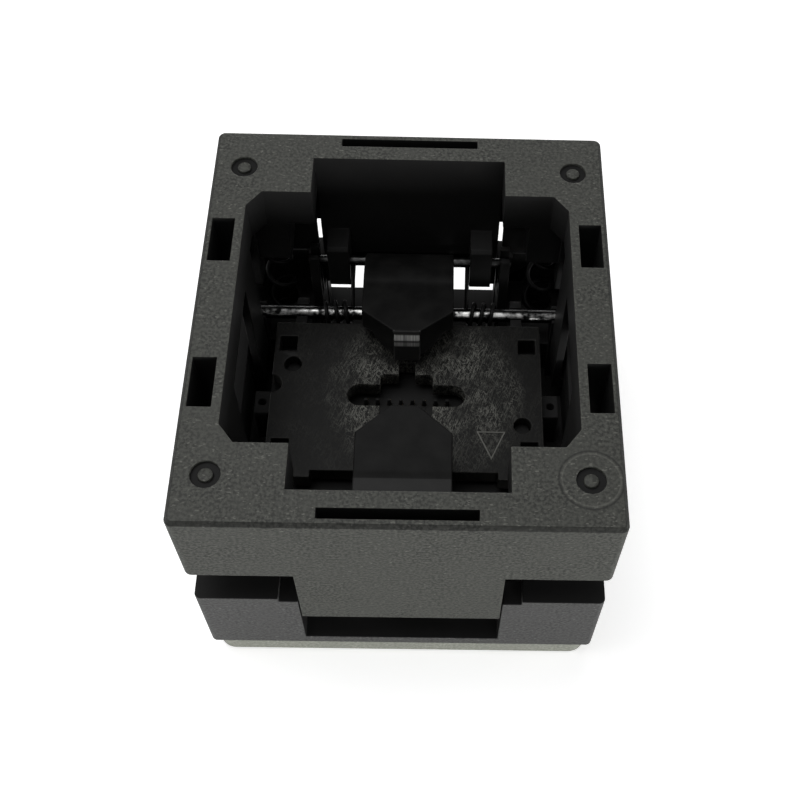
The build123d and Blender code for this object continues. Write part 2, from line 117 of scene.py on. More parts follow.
forward = Vector((sin(yaw) * cos(pitch), cos(yaw) * cos(pitch), sin(pitch)))
level_right = Vector((cos(yaw), -sin(yaw), 0))
level_up = level_right.cross(forward)
camera_right = cos(roll) * level_right + sin(roll) * level_up
camera_up = cos(roll) * level_up - sin(roll) * level_right
camera_data = bpy.data.cameras.new("studio_camera")
camera_data.sensor_width = sensor_mm
camera_data.lens = sensor_mm * focal_px / image_px
camera_data.shift_x = -crop_px[0] / image_px
camera_data.shift_y = crop_px[1] / image_px
camera_data.clip_start = mm
camera = bpy.data.objects.new("studio_camera", camera_data)
turn = Matrix((camera_right, camera_up, -forward)).transposed()
camera.matrix_world = Matrix.Translation(Vector(eye_widths) * width) @ turn.to_4x4()
bpy.context.scene.collection.objects.link(camera)
bpy.context.scene.camera = camera
print(f"lens {camera_data.lens:.1f} mm, {camera.location.length / mm:.0f} mm from the socket")

# %% [markdown]
# ## Helpers for hand modelling
# An operator acts on whatever is selected, so each piece starts from a clean selection, and
# inside edit mode the faces are chosen in code, by their place and the way they look. The
# finishing helpers end a piece: one writes its place into its mesh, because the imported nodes
# are stored that way too, one says which node it stands for and which body it rides on, and
# one copies a finished piece to the other places where the socket has it.

# %% Selection helpers
def select_only(*objects):
    """Nothing else is selected, and the last one is active."""
    if bpy.context.object and bpy.context.object.mode != "OBJECT":
        bpy.ops.object.mode_set(mode="OBJECT")
    bpy.ops.object.select_all(action="DESELECT")
    for obj in objects:
        obj.select_set(True)
        bpy.context.view_layer.objects.active = obj


def edit(obj):
    """Opens a piece in edit mode with all of it selected."""
    select_only(obj)
    bpy.ops.object.mode_set(mode="EDIT")
    bpy.ops.mesh.select_all(action="SELECT")


def pick_faces(obj, rule):
    """In edit mode, selects only the faces whose middle and direction the rule accepts."""
    shape = bmesh.from_edit_mesh(obj.data)
    chosen = [face for face in shape.faces if rule(face.calc_center_median(), face.normal)]
    bpy.ops.mesh.select_all(action="DESELECT")
    for face in chosen:
        face.select_set(True)
    bmesh.update_edit_mesh(obj.data)


# %% Finishing helpers
def face_outwards(obj):
    """Turns every face of a closed piece outwards."""
    edit(obj)
    bpy.ops.mesh.normals_make_consistent(inside=False)
    bpy.ops.object.mode_set(mode="OBJECT")


def settle(obj, name):
    """Names a piece, and moves its place, turn and scale into its mesh."""
    select_only(obj)
    obj.name = name
    obj.data.name = name
    bpy.ops.object.transform_apply(location=True, rotation=True, scale=True)
    return obj


def stand_in(piece, node_name):
    """The piece is shown in place of a CAD node and rides on its body."""
    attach(piece, frame["nodes"][node_name]["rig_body"])
    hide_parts(node_name)


def twin(source, name, flip=(1, 1, 1), shift=(0, 0, 0)):
    """A copy with its own mesh, mirrored through a middle plane where flip is -1, then shifted."""
    copy = bpy.data.objects.new(name, source.data.copy())
    bpy.context.scene.collection.objects.link(copy)
    copy.scale = flip
    copy.location = shift
    settle(copy, name)
    face_outwards(copy)
    return copy


# %% [markdown]
# ## Floor and light
# The socket stands on a white sheet in a light tent. One soft lamp hangs overhead. Four long
# lamps stand low around it, the strongest in front, so that the walls are brighter than the
# top and hardly any of that light falls into the open middle. The world shows itself pure
# white to the camera and to reflections, but lights the plastic only a little.

# %% Floor
floor_half = 40 * width
floor_gap = 0.05 * mm
paper_white = (0.92, 0.92, 0.92, 1)
paper_glow = 0.52
bpy.ops.mesh.primitive_plane_add(size=2 * floor_half, location=(0, 0, low_corner.z - floor_gap))
floor = settle(bpy.context.object, "paper_floor")

paper = bpy.data.materials.new("white_paper")
paper.use_nodes = True
paper_nodes, paper_links = paper.node_tree.nodes, paper.node_tree.links
paper_shader = paper_nodes["Principled BSDF"]
paper_shader.inputs["Base Color"].default_value = paper_white
paper_shader.inputs["Roughness"].default_value = 0.9
paper_shader.inputs["Emission Color"].default_value = (1, 1, 1, 1)
seen = paper_nodes.new("ShaderNodeLightPath")
glow = paper_nodes.new("ShaderNodeMath")
glow.operation = "MULTIPLY"
glow.inputs[1].default_value = paper_glow
paper_links.new(seen.outputs["Is Camera Ray"], glow.inputs[0])
paper_links.new(glow.outputs[0], paper_shader.inputs["Emission Strength"])
floor.data.materials.append(paper)
print(f"floor {floor.dimensions.x:.2f} m across")

# %% World
world_level = 0.16
world = bpy.data.worlds.new("white_studio")
world.use_nodes = True
bpy.context.scene.world = world
sky, sky_links = world.node_tree.nodes, world.node_tree.links
backdrop = sky["Background"]
backdrop.inputs["Color"].default_value = (1, 1, 1, 1)
ray = sky.new("ShaderNodeLightPath")
shown = sky.new("ShaderNodeMath")
shown.operation = "MAXIMUM"
shown_all = sky.new("ShaderNodeMath")
shown_all.operation = "MAXIMUM"
level = sky.new("ShaderNodeMapRange")
level.inputs["To Min"].default_value = world_level
level.inputs["To Max"].default_value = 1.0
sky_links.new(ray.outputs["Is Camera Ray"], shown.inputs[0])
sky_links.new(ray.outputs["Is Glossy Ray"], shown.inputs[1])
sky_links.new(shown.outputs[0], shown_all.inputs[0])
sky_links.new(ray.outputs["Is Transmission Ray"], shown_all.inputs[1])
sky_links.new(shown_all.outputs[0], level.inputs["Value"])
sky_links.new(level.outputs["Result"], backdrop.inputs["Strength"])
print("world lights at", world_level, "and shows at 1")


# %% Lamps
def add_softbox(name, place, wide, high, watts):
    """An area lamp aimed at the middle of the socket; its height stays upright."""
    lamp_data = bpy.data.lights.new(name, "AREA")
    lamp_data.shape = "RECTANGLE"
    lamp_data.size = wide
    lamp_data.size_y = high
    lamp_data.energy = watts
    lamp = bpy.data.objects.new(name, lamp_data)
    lamp.location = place
    aim = Vector((0, 0, height / 2)) - Vector(place)
    lamp.rotation_euler = aim.to_track_quat("-Z", "Y").to_euler()
    bpy.context.scene.collection.objects.link(lamp)


# Each has a name, its place in metres, its width and height, and its watts.
softboxes = (
    ("overhead_softbox", (-0.10, 0.05, 0.40), 0.30, 0.30, 0.94),
    ("low_front_softbox", (0.12, -0.45, 0.05), 0.40, 0.08, 1.8),
    ("low_left_softbox", (-0.45, 0.0, 0.05), 0.30, 0.08, 0.9),
    ("low_right_softbox", (0.45, 0.0, 0.05), 0.30, 0.08, 0.9),
    ("low_rear_softbox", (0.0, 0.45, 0.05), 0.30, 0.08, 0.7),
)
for softbox in softboxes:
    add_softbox(*softbox)
bpy.context.scene.view_settings.view_transform = "Standard"

# %% [markdown]
# ## Building blocks for materials
# Each finish below is a small node tree. These helpers add its usual parts: a noise pattern,
# a stretch of its range, a blend of two colours, a tint laid over a skin, and a bump. The Bevel
# node looks a little way round every point, and where the direction it finds differs from the
# surface's own there is an edge, which is where plastic wears pale; on the black finishes that
# paler edge is also a painted glint.

# %% Noise and range
def start_material(name, roughness, specular):
    """A material, its nodes and links, and its shader with the values that are even all over."""
    material = bpy.data.materials.new(name)
    material.use_nodes = True
    nodes = material.node_tree.nodes
    shader = nodes["Principled BSDF"]
    shader.inputs["Roughness"].default_value = roughness
    shader.inputs["Specular IOR Level"].default_value = specular
    return material, nodes, material.node_tree.links, shader


def add_noise(nodes, links, size, detail=2.0, stretch=(1, 1, 1), distortion=0.0, slant=0.0):
    """A noise pattern on object coordinates, with spots of about the given size in metres."""
    place = nodes.new("ShaderNodeTexCoord")
    spread = nodes.new("ShaderNodeMapping")
    spread.vector_type = "TEXTURE"
    spread.inputs["Rotation"].default_value = (0, 0, slant)
    spread.inputs["Scale"].default_value = [size * s for s in stretch]
    noise = nodes.new("ShaderNodeTexNoise")
    noise.inputs["Scale"].default_value = 1.0
    noise.inputs["Detail"].default_value = detail
    noise.inputs["Distortion"].default_value = distortion
    links.new(place.outputs["Object"], spread.inputs["Vector"])
    links.new(spread.outputs["Vector"], noise.inputs["Vector"])
    return noise.outputs["Fac"]


def remap(nodes, links, value, low, high, to_low=0.0, to_high=1.0):
    """The value's stretch from low to high, spread over another range and cut off outside it."""
    spread = nodes.new("ShaderNodeMapRange")
    spread.inputs["From Min"].default_value = low
    spread.inputs["From Max"].default_value = high
    spread.inputs["To Min"].default_value = to_low
    spread.inputs["To Max"].default_value = to_high
    links.new(value, spread.inputs["Value"])
    return spread.outputs["Result"]


# %% Blend, sum, tint and bump
def blend_colours(nodes, links, factor, first, second):
    """first where the factor is 0 and second where it is 1; each is a colour or a socket."""
    mix = nodes.new("ShaderNodeMix")
    mix.data_type = "RGBA"
    links.new(factor, mix.inputs["Factor"])
    for socket, colour in ((mix.inputs[6], first), (mix.inputs[7], second)):
        if isinstance(colour, tuple):
            socket.default_value = (*colour, 1)
        else:
            links.new(colour, socket)
    return mix.outputs[2]


def calculate(nodes, links, operation, *values):
    """The result of a sum on values that are numbers or sockets."""
    step = nodes.new("ShaderNodeMath")
    step.operation = operation
    for socket, value in zip(step.inputs, values):
        if isinstance(value, float):
            socket.default_value = value
        else:
            links.new(value, socket)
    return step.outputs[0]


def tint(nodes, links, skin, colour, mask, share):
    """The skin with a colour laid over it where the mask is, at a share of full strength."""
    factor = calculate(nodes, links, "MULTIPLY", mask, share)
    return blend_colours(nodes, links, factor, skin, colour)


def add_bump(nodes, links, value, height_m, normal=None):
    """A bump of the given height over the value's range, on top of a rounded normal."""
    bump = nodes.new("ShaderNodeBump")
    bump.inputs["Distance"].default_value = height_m
    links.new(value, bump.inputs["Height"])
    if normal:
        links.new(normal, bump.inputs["Normal"])
    return bump.outputs["Normal"]


# %% Masks for edges and rings
def edge_mask(nodes, links, radius):
    """About 1 on sharp outer and inner edges and 0 on flats, with the rounded normal."""
    bevel = nodes.new("ShaderNodeBevel")
    bevel.inputs["Radius"].default_value = radius
    surface = nodes.new("ShaderNodeNewGeometry")
    agree = nodes.new("ShaderNodeVectorMath")
    agree.operation = "DOT_PRODUCT"
    links.new(bevel.outputs["Normal"], agree.inputs[0])
    links.new(surface.outputs["Normal"], agree.inputs[1])
    return remap(nodes, links, agree.outputs["Value"], 1.0, 0.75), bevel.outputs["Normal"]


def distance_from(nodes, links, x, y):
    """How far a point is from an upright line, in metres, seen from above."""
    place = nodes.new("ShaderNodeTexCoord")
    flat = nodes.new("ShaderNodeMapping")
    flat.inputs["Location"].default_value = (-x, -y, 0)
    flat.inputs["Scale"].default_value = (1, 1, 0)
    away = nodes.new("ShaderNodeVectorMath")
    away.operation = "LENGTH"
    links.new(place.outputs["Object"], flat.inputs["Vector"])
    links.new(flat.outputs["Vector"], away.inputs[0])
    return away.outputs["Value"]


def ring_mask(nodes, links, x, y, radius, half_width):
    """1 on a thin circle round an upright line, and 0 away from it."""
    off = calculate(nodes, links, "SUBTRACT", distance_from(nodes, links, x, y), radius)
    return remap(nodes, links, calculate(nodes, links, "ABSOLUTE", off), 0.0, half_width, 1.0, 0.0)


# %% Masks for sides, heights and scratches
def side_mask(nodes, links, way, low, high):
    """0 to 1 as a piece's side turns towards a direction, between two values of their cosine."""
    place = nodes.new("ShaderNodeTexCoord")
    agree = nodes.new("ShaderNodeVectorMath")
    agree.operation = "DOT_PRODUCT"
    agree.inputs[1].default_value = way
    links.new(place.outputs["Normal"], agree.inputs[0])
    return remap(nodes, links, agree.outputs["Value"], low, high)


def height_band(nodes, links, low, high, softness):
    """1 between two heights on a piece and 0 away from them."""
    place = nodes.new("ShaderNodeTexCoord")
    parts = nodes.new("ShaderNodeSeparateXYZ")
    links.new(place.outputs["Object"], parts.inputs[0])
    off = calculate(nodes, links, "SUBTRACT", parts.outputs["Z"], (low + high) / 2)
    half = (high - low) / 2
    away = calculate(nodes, links, "ABSOLUTE", off)
    return remap(nodes, links, away, half - softness, half + softness, 1.0, 0.0)


def scratch_lines(nodes, links, size, stretch, fineness, slant):
    """Thin wandering lines, where a noise pattern crosses its middle value."""
    noise = add_noise(nodes, links, size, 4.0, stretch, distortion=0.8, slant=slant)
    off = calculate(nodes, links, "SUBTRACT", noise, 0.5)
    return remap(nodes, links, calculate(nodes, links, "ABSOLUTE", off), 0.0, fineness, 1.0, 0.0)


# %% [markdown]
# ## Glass-filled plastic
# The cover and base are a hard moulded plastic filled with glass fibre. Close up its skin is a
# fine mix of pale and dark grains with a few bright flecks, and its sharp edges are a little
# rubbed. A fixed colour can't show that, so three noise patterns are mixed: a slow cloud for
# the tone, a fine grain for the skin, and stretched spots for the fibres. The cover alone has
# one more mark, the faint ring that an ejector sleeve left round its front right dimple:
# painted shade for its groove and a painted highlight for the lip inside it. A darker copy of
# the cover's plastic is painted on its chamfered top edge as shade.

# %% Glass-filled plastic
cloud_size, grain_size, fibre_size = 2.8 * mm, 0.24 * mm, 0.16 * mm
grain_height = 0.010 * mm
edge_reach = 0.12 * mm
groove_half, lip_half, lip_step = 0.13 * mm, 0.10 * mm, 0.22 * mm


def add_sleeve_mark(nodes, links, skin, sleeve_ring, dark, fleck):
    """The skin with the mark of an ejector sleeve: painted shade for its groove and a painted
    highlight for the lip inside it.
    """
    x, y, radius = sleeve_ring
    groove_shade = ring_mask(nodes, links, x, y, radius, groove_half)
    lip_highlight = ring_mask(nodes, links, x, y, radius - lip_step, lip_half)
    skin = tint(nodes, links, skin, tuple(0.3 * part for part in dark), groove_shade, 0.9)
    return tint(nodes, links, skin, fleck, lip_highlight, 0.25)


def glass_filled_plastic(name, dark, light, fleck, roughness, specular, sleeve_ring=None):
    """Moulded plastic with a speckled skin: dark and light grains and a few bright fibres."""
    material, nodes, links, shader = start_material(name, roughness, specular)
    cloud = remap(nodes, links, add_noise(nodes, links, cloud_size, 4.0), 0.38, 0.62)
    grain = remap(nodes, links, add_noise(nodes, links, grain_size, 2.0), 0.38, 0.62)
    fibre_noise = add_noise(nodes, links, fibre_size, 1.0, stretch=(2.2, 1.0, 1.0))
    fibre = remap(nodes, links, fibre_noise, 0.66, 0.72)
    edge, rounded = edge_mask(nodes, links, edge_reach)
    skin = blend_colours(nodes, links, grain, dark, light)
    skin = tint(nodes, links, skin, tuple(0.72 * part for part in light), cloud, 0.5)
    skin = tint(nodes, links, skin, fleck, fibre, 0.45)
    skin = tint(nodes, links, skin, fleck, edge, 0.3)
    if sleeve_ring:
        skin = add_sleeve_mark(nodes, links, skin, sleeve_ring, dark, fleck)
    links.new(skin, shader.inputs["Base Color"])
    links.new(add_bump(nodes, links, grain, grain_height, rounded), shader.inputs["Normal"])
    return material


ring_x, ring_y, ring_radius = 13.5 * mm, -14.3 * mm, 2.3 * mm
cover_plastic = glass_filled_plastic(
    "cover_charcoal", dark=(0.015, 0.0155, 0.0135), light=(0.062, 0.064, 0.056),
    fleck=(0.19, 0.19, 0.17), roughness=0.5, specular=0.2,
    sleeve_ring=(ring_x, ring_y, ring_radius))
# Painted shade: a darker copy of the cover's plastic, laid on the chamfer round its top.
chamfer_painted_shade = glass_filled_plastic(
    "cover_chamfer_painted_shade", dark=(0.008, 0.0085, 0.0075), light=(0.024, 0.0245, 0.022),
    fleck=(0.06, 0.06, 0.055), roughness=0.5, specular=0.1)
base_plastic = glass_filled_plastic(
    "base_charcoal", dark=(0.027, 0.027, 0.0265), light=(0.068, 0.068, 0.067),
    fleck=(0.19, 0.19, 0.185), roughness=0.5, specular=0.2)
pale_plastic = glass_filled_plastic(
    "glass_filled_pale", dark=(0.165, 0.173, 0.147), light=(0.265, 0.273, 0.235),
    fleck=(0.38, 0.39, 0.35), roughness=0.55, specular=0.3)
print("speckled plastics", cover_plastic.name, base_plastic.name, pale_plastic.name)

# %% [markdown]
# ## Black plastic
# The latches and what lies round the nest are black plastic. Inside the cover and base the
# same even black is painted shade, laid on faces of the charcoal mouldings where little light
# falls. The edges of the black finishes are a little paler, partly worn and partly a painted
# glint. On the latches the nose faces are a little paler too, and the front one's tail is
# painted paler as the sheen it catches from the front. The springs' wire and the nest's guide
# pins are blackened metal that looks much the same, so the same helper makes their finishes.

# %% Black moulded plastic
tone_size, matt_size, matt_height = 1.8 * mm, 0.09 * mm, 0.002 * mm


def black_plastic(name, colour, wear_and_glint_colour, roughness, specular, edge_wear_and_glint):
    """Dark even plastic whose edges are a little paler, partly from wear and partly as a painted
    glint.
    """
    material, nodes, links, shader = start_material(name, roughness, specular)
    tone = remap(nodes, links, add_noise(nodes, links, tone_size, 4.0), 0.35, 0.7)
    edge, rounded = edge_mask(nodes, links, edge_reach)
    skin = tint(nodes, links, colour, wear_and_glint_colour, tone, 0.12)
    skin = tint(nodes, links, skin, wear_and_glint_colour, edge, edge_wear_and_glint)
    links.new(skin, shader.inputs["Base Color"])
    matt = add_noise(nodes, links, matt_size, 2.0)
    links.new(add_bump(nodes, links, matt, matt_height, rounded), shader.inputs["Normal"])
    return material


# Painted shade: this black goes on the inner faces of the cover and base, the base's rim and
# notches, the lower plate's top and the contact tips, where little light falls.
painted_shade_black = black_plastic(
    "painted_shade_black", colour=(0.016, 0.016, 0.016), wear_and_glint_colour=(0.030, 0.030, 0.029),
    roughness=0.45, specular=0.04, edge_wear_and_glint=0.5)
# The latch edges are paler partly from wear and partly as a painted glint.
latch_black = black_plastic(
    "latch_black", colour=(0.004, 0.004, 0.004), wear_and_glint_colour=(0.050, 0.050, 0.048),
    roughness=0.42, specular=0.05, edge_wear_and_glint=0.9)
# Painted sheen: the front latch's tail is made paler, as the light it catches from the front.
latch_wear_and_sheen = black_plastic(
    "latch_wear_and_painted_sheen", colour=(0.014, 0.014, 0.014), wear_and_glint_colour=(0.050, 0.050, 0.048),
    roughness=0.45, specular=0.10, edge_wear_and_glint=0.6)
pin_black = black_plastic(
    "guide_pin_black", colour=(0.004, 0.004, 0.004), wear_and_glint_colour=(0.012, 0.012, 0.012),
    roughness=0.4, specular=0.07, edge_wear_and_glint=0.3)
wire_black = black_plastic(
    "blackened_spring_wire", colour=(0.004, 0.004, 0.004), wear_and_glint_colour=(0.012, 0.012, 0.012),
    roughness=0.4, specular=0.07, edge_wear_and_glint=0.0)
print("black finishes", painted_shade_black.name, latch_black.name, pin_black.name, wire_black.name)

# %% [markdown]
# ## Scuffs where packages touch
# Packages have rubbed two places pale. On the nest plate it is a patch round the slot, of fine
# lines that wander across each other and mostly run to and fro, so two scratch patterns are
# mixed inside a soft round mask. On a latch's nose it is two level bands on the sloped face,
# where every package slides down. These bands are partly that wear and partly a painted
# highlight on the rounded nose. A noise pattern drawn out into upright lines is shown only
# between certain heights.

# %% Scuffed plastic of the nest
long_scratch, cross_scratch = (0.35, 3.0, 1.0), (0.6, 1.4, 1.0)
along_size, across_size, speck_size, patch_size = 0.50 * mm, 0.7 * mm, 0.16 * mm, 2.2 * mm
scuff_middle_x, scuff_radius = 1.5 * mm, 8.0 * mm
scuff_depth, fine_edge_reach = 0.004 * mm, 0.10 * mm


def scuffed_plastic(name, colour, scuff_colour, roughness, specular, strength):
    """Dark plastic with fine scratches, which lie round a point near the slot's middle."""
    material, nodes, links, shader = start_material(name, roughness, specular)
    along = scratch_lines(nodes, links, along_size, long_scratch, 0.035, slant=-0.35)
    across = scratch_lines(nodes, links, across_size, cross_scratch, 0.025, slant=0.5)
    speck = remap(nodes, links, add_noise(nodes, links, speck_size, 2.0), 0.48, 0.66)
    patch_noise = add_noise(nodes, links, patch_size, 3.0)
    patch = remap(nodes, links, patch_noise, 0.38, 0.62, 0.25, 1.0)
    pale_share = calculate(nodes, links, "MAXIMUM", along, across)
    faint_speck = calculate(nodes, links, "MULTIPLY", speck, 0.2)
    pale_share = calculate(nodes, links, "MAXIMUM", pale_share, faint_speck)
    pale_share = calculate(nodes, links, "MULTIPLY", pale_share, patch)
    pale_share = calculate(nodes, links, "MULTIPLY", pale_share, strength)
    away = distance_from(nodes, links, scuff_middle_x, 0.0)
    inside = remap(nodes, links, away, 0.75 * scuff_radius, 1.1 * scuff_radius, 1.0, 0.08)
    pale_share = calculate(nodes, links, "MULTIPLY", pale_share, inside)
    edge, rounded = edge_mask(nodes, links, fine_edge_reach)
    skin = blend_colours(nodes, links, pale_share, colour, scuff_colour)
    skin = tint(nodes, links, skin, scuff_colour, edge, 0.25)
    links.new(skin, shader.inputs["Base Color"])
    links.new(add_bump(nodes, links, pale_share, scuff_depth, rounded), shader.inputs["Normal"])
    return material


nest_plastic = scuffed_plastic(
    "nest_black", colour=(0.0045, 0.0045, 0.0043), scuff_colour=(0.20, 0.20, 0.18),
    roughness=0.42, specular=0.08, strength=0.9)
print("scuffs within", scuff_radius / mm, "mm")

# %% Rubbed plastic with a painted highlight on the latch noses
bright_band = (15.97 * mm, 16.50 * mm, 1.0)
dim_band = (15.45 * mm, 15.80 * mm, 0.45)
band_softness, rub_depth = 0.07 * mm, 0.003 * mm
upright_size, upright_stretch = 0.10 * mm, (1.0, 60.0, 60.0)


def worn_and_highlit_plastic(name, colour, rub_and_highlight_colour, roughness, specular, bands):
    """Dark plastic made pale between two pairs of heights, each to its own share: partly rubbing,
    partly a painted highlight.
    """
    material, nodes, links, shader = start_material(name, roughness, specular)
    upright = add_noise(nodes, links, upright_size, 2.0, stretch=upright_stretch)
    lines = remap(nodes, links, upright, 0.38, 0.62, 0.35, 1.0)
    shares = []
    for low, high, share in bands:
        band = height_band(nodes, links, low, high, band_softness)
        shares.append(calculate(nodes, links, "MULTIPLY", band, share))
    either_band = calculate(nodes, links, "ADD", *shares)
    pale_share = calculate(nodes, links, "MULTIPLY", lines, either_band)
    links.new(blend_colours(nodes, links, pale_share, colour, rub_and_highlight_colour), shader.inputs["Base Color"])
    links.new(add_bump(nodes, links, pale_share, rub_depth), shader.inputs["Normal"])
    return material


# Painted highlight: the pale nose bands are partly rubbing and partly the light that the rounded
# nose catches.
nose_wear_and_highlight = worn_and_highlit_plastic(
    "nose_wear_and_painted_highlight", colour=(0.02, 0.02, 0.019), rub_and_highlight_colour=(0.60, 0.60, 0.58),
    roughness=0.45, specular=0.3, bands=(bright_band, dim_band))
print("nose bands at", bright_band[0] / mm, "and", dim_band[0] / mm, "mm")

# %% [markdown]
# ## Metals
# Shafts, pins, screws and contacts are ground, drawn or plated metal. A metal's look is nearly
# all reflection, so these only vary the tone and roughness: fine lines along the metal, and
# blotches in its tone. The pivot shafts are dark, and their light blotches are a painted
# highlight, laid in patches only along the side that looks up and forward, so they are masked
# by the way the surface faces. The drive pins are blackened.

# %% Metal finishes
line_size, line_height, blotch_size = 0.05 * mm, 0.002 * mm, 0.7 * mm


def drawn_metal(name, dark, light, roughness, line_stretch, highlight_side=None):
    """Metal with fine lines along it and blotches in its tone, all round, or on one side only as a
    painted highlight.
    """
    material, nodes, links, shader = start_material(name, roughness, 0.5)
    lines = add_noise(nodes, links, line_size, 3.0, stretch=line_stretch)
    blotch = remap(nodes, links, add_noise(nodes, links, blotch_size, 4.0), 0.4, 0.62)
    if highlight_side:
        facing = side_mask(nodes, links, highlight_side, 0.82, 0.97)
        blotch = calculate(nodes, links, "MULTIPLY", blotch, facing)
    sheen = remap(nodes, links, lines, 0.3, 0.7, roughness - 0.08, roughness + 0.12)
    shader.inputs["Metallic"].default_value = 1.0
    links.new(blend_colours(nodes, links, blotch, dark, light), shader.inputs["Base Color"])
    links.new(sheen, shader.inputs["Roughness"])
    links.new(add_bump(nodes, links, lines, line_height), shader.inputs["Normal"])
    return material


# Painted highlight: the light tone of the shaft lies only on the side that looks up and forward.
painted_highlight_side = (0.0, -0.55, 0.84)
along_x, along_z, all_ways = (12.0, 1.0, 1.0), (1.0, 1.0, 6.0), (1.0, 1.0, 1.0)
shaft_steel = drawn_metal(
    "shaft_steel_painted_highlight", dark=(0.012, 0.012, 0.012), light=(0.55, 0.55, 0.54),
    roughness=0.30, line_stretch=along_x, highlight_side=painted_highlight_side)
pin_steel = drawn_metal(
    "blackened_pin_steel", dark=(0.02, 0.02, 0.02), light=(0.07, 0.07, 0.07),
    roughness=0.34, line_stretch=along_x)
screw_steel = drawn_metal(
    "plated_screw", dark=(0.40, 0.39, 0.37), light=(0.60, 0.59, 0.56),
    roughness=0.35, line_stretch=all_ways)
contact_gold = drawn_metal(
    "gold_plating", dark=(0.50, 0.36, 0.16), light=(0.80, 0.60, 0.29),
    roughness=0.32, line_stretch=along_z)
print("metals", shaft_steel.name, pin_steel.name, screw_steel.name, contact_gold.name)

# %% [markdown]
# ## Mouldings with rounded edges
# No moulded edge is knife sharp, and a real edge catches a thin line of light. The CAD mesh is
# loose triangles with sharp corners. Its own mesh must stay as it is, so a copy is taken, its
# triangles are merged back into flat faces, and a bevel rounds every edge sharper than
# thirty-five degrees. Normals weighted by area then keep the big flats even, while the thin
# strips between them blend.

# %% Round the mouldings
merge_gap, flat_angle, sharp_angle = 0.001 * mm, radians(1), radians(35)


def rounded_copy(node_name, rounding):
    """A copy of a CAD node with whole faces and rounded edges, shown in the node's place."""
    piece = bpy.data.objects.new(f"{node_name}_moulding", frame["nodes"][node_name].data.copy())
    bpy.context.scene.collection.objects.link(piece)
    edit(piece)
    bpy.ops.mesh.remove_doubles(threshold=merge_gap)
    bpy.ops.mesh.dissolve_limited(angle_limit=flat_angle)
    bpy.ops.object.mode_set(mode="OBJECT")
    bpy.ops.object.shade_smooth()
    bevel = piece.modifiers.new("rounded_edges", "BEVEL")
    bevel.width = rounding
    bevel.segments = 2
    bevel.limit_method = "ANGLE"
    bevel.angle_limit = sharp_angle
    bevel.use_clamp_overlap = False
    bpy.ops.object.modifier_apply(modifier=bevel.name)
    flats = piece.modifiers.new("even_flats", "WEIGHTED_NORMAL")
    flats.mode = "FACE_AREA"
    flats.weight = 100
    bpy.ops.object.modifier_apply(modifier=flats.name)
    stand_in(piece, node_name)
    print(piece.name, len(piece.data.polygons), "faces")
    return piece


cover = rounded_copy("cover_frame", rounding=0.06 * mm)
base = rounded_copy("base_housing", rounding=0.06 * mm)
lower_plate = rounded_copy("lower_plate", rounding=0.12 * mm)
nest = rounded_copy("nest_plate", rounding=0.08 * mm)
latches = [rounded_copy(f"latch_{end}", rounding=0.12 * mm) for end in ("front", "rear")]
contacts = rounded_copy("contacts", rounding=0.03 * mm)

# %% [markdown]
# ## Which faces wear which finish
# One moulding shows several finishes. Each face is given a finish by where it lies, in
# millimetres. The cover's walls inside its outer shell are painted black as shade, and so are
# the base's rim and the top of the lower plate, and the cover's chamfered edge is painted
# darker than its top, as shade. A latch is worn pale on the sloped face that guides the
# package in, where the pale bands are also a painted highlight, and a little paler on the
# nose's upright face; the front latch's tail is painted paler as the sheen it catches from the
# front. The contacts are gold below, but painted dark as shade where they stand in the nest's
# slot.

# %% Dress a piece
def dress(piece, finish, *others):
    """One finish all over, then others, each with the rule that says which faces wear it."""
    piece.data.materials.clear()
    piece.data.materials.append(finish)
    for face in piece.data.polygons:
        face.material_index = 0
    for other, rule in others:
        piece.data.materials.append(other)
        for face in piece.data.polygons:
            if rule(face.center / mm, face.normal):
                face.material_index = len(piece.data.materials) - 1


# %% Where each finish lies
# How far from the middle, or how high, each finish starts or ends, in millimetres.
cover_x, cover_y, cover_z = 15.62, 17.68, 24.45
edge_x, edge_y, edge_z = 15.65, 17.9, 24.38
notch_x, notch_y, notch_z = 8.06, 18.15, 3.4
tray_x, tray_y, rim_z = 13.99, 16.24, 10.9
slope_y, slope_z = 3.7, 15.3
nose_y, nose_low_z, nose_high_z = 3.2, 13.2, 15.5
tail_y, tail_z = 9.1, 12.0
tips_z = 8.0
# The upward part of a face's direction: level, chamfered, sloped, and just turned up.
level_up_from, chamfer_from, chamfer_to = 0.9, 0.3, 0.95
slope_from, slope_to, tail_up_from = 0.15, 0.8, 0.1


def inside_cover(middle, normal):
    """Faces of the cover behind its outer walls and below its top, and those of its slots, which
    are painted black as shade.
    """
    return abs(middle.x) < cover_x and abs(middle.y) < cover_y and middle.z < cover_z


def cover_edge(middle, normal):
    """The chamfer round the cover's top, painted darker than the top as shade."""
    outside = abs(middle.x) > edge_x or abs(middle.y) > edge_y
    return outside and middle.z > edge_z and chamfer_from < normal.z < chamfer_to


def inside_base(middle, normal):
    """Faces of the base within its walls, those of its two notches, and the top of its rim, all
    painted black as shade.
    """
    in_notch = abs(middle.x) < notch_x and abs(middle.y) < notch_y and middle.z > notch_z
    on_rim = middle.z > rim_z and normal.z > level_up_from
    return in_notch or on_rim or (abs(middle.x) < tray_x and abs(middle.y) < tray_y)


def nose_slope(middle, normal):
    """The sloped faces above the latch's nose, where packages slide in."""
    in_reach = abs(middle.y) < slope_y and middle.z > slope_z
    return in_reach and slope_from < normal.z < slope_to


def plate_top(middle, normal):
    """The top of the lower plate, which closes the base from below, painted black as shade."""
    return normal.z > level_up_from


def nose_face(middle, normal):
    """The upright face of the nose, which looks at the package."""
    in_reach = abs(middle.y) < nose_y and nose_low_z < middle.z < nose_high_z
    return in_reach and normal.y * middle.y < 0


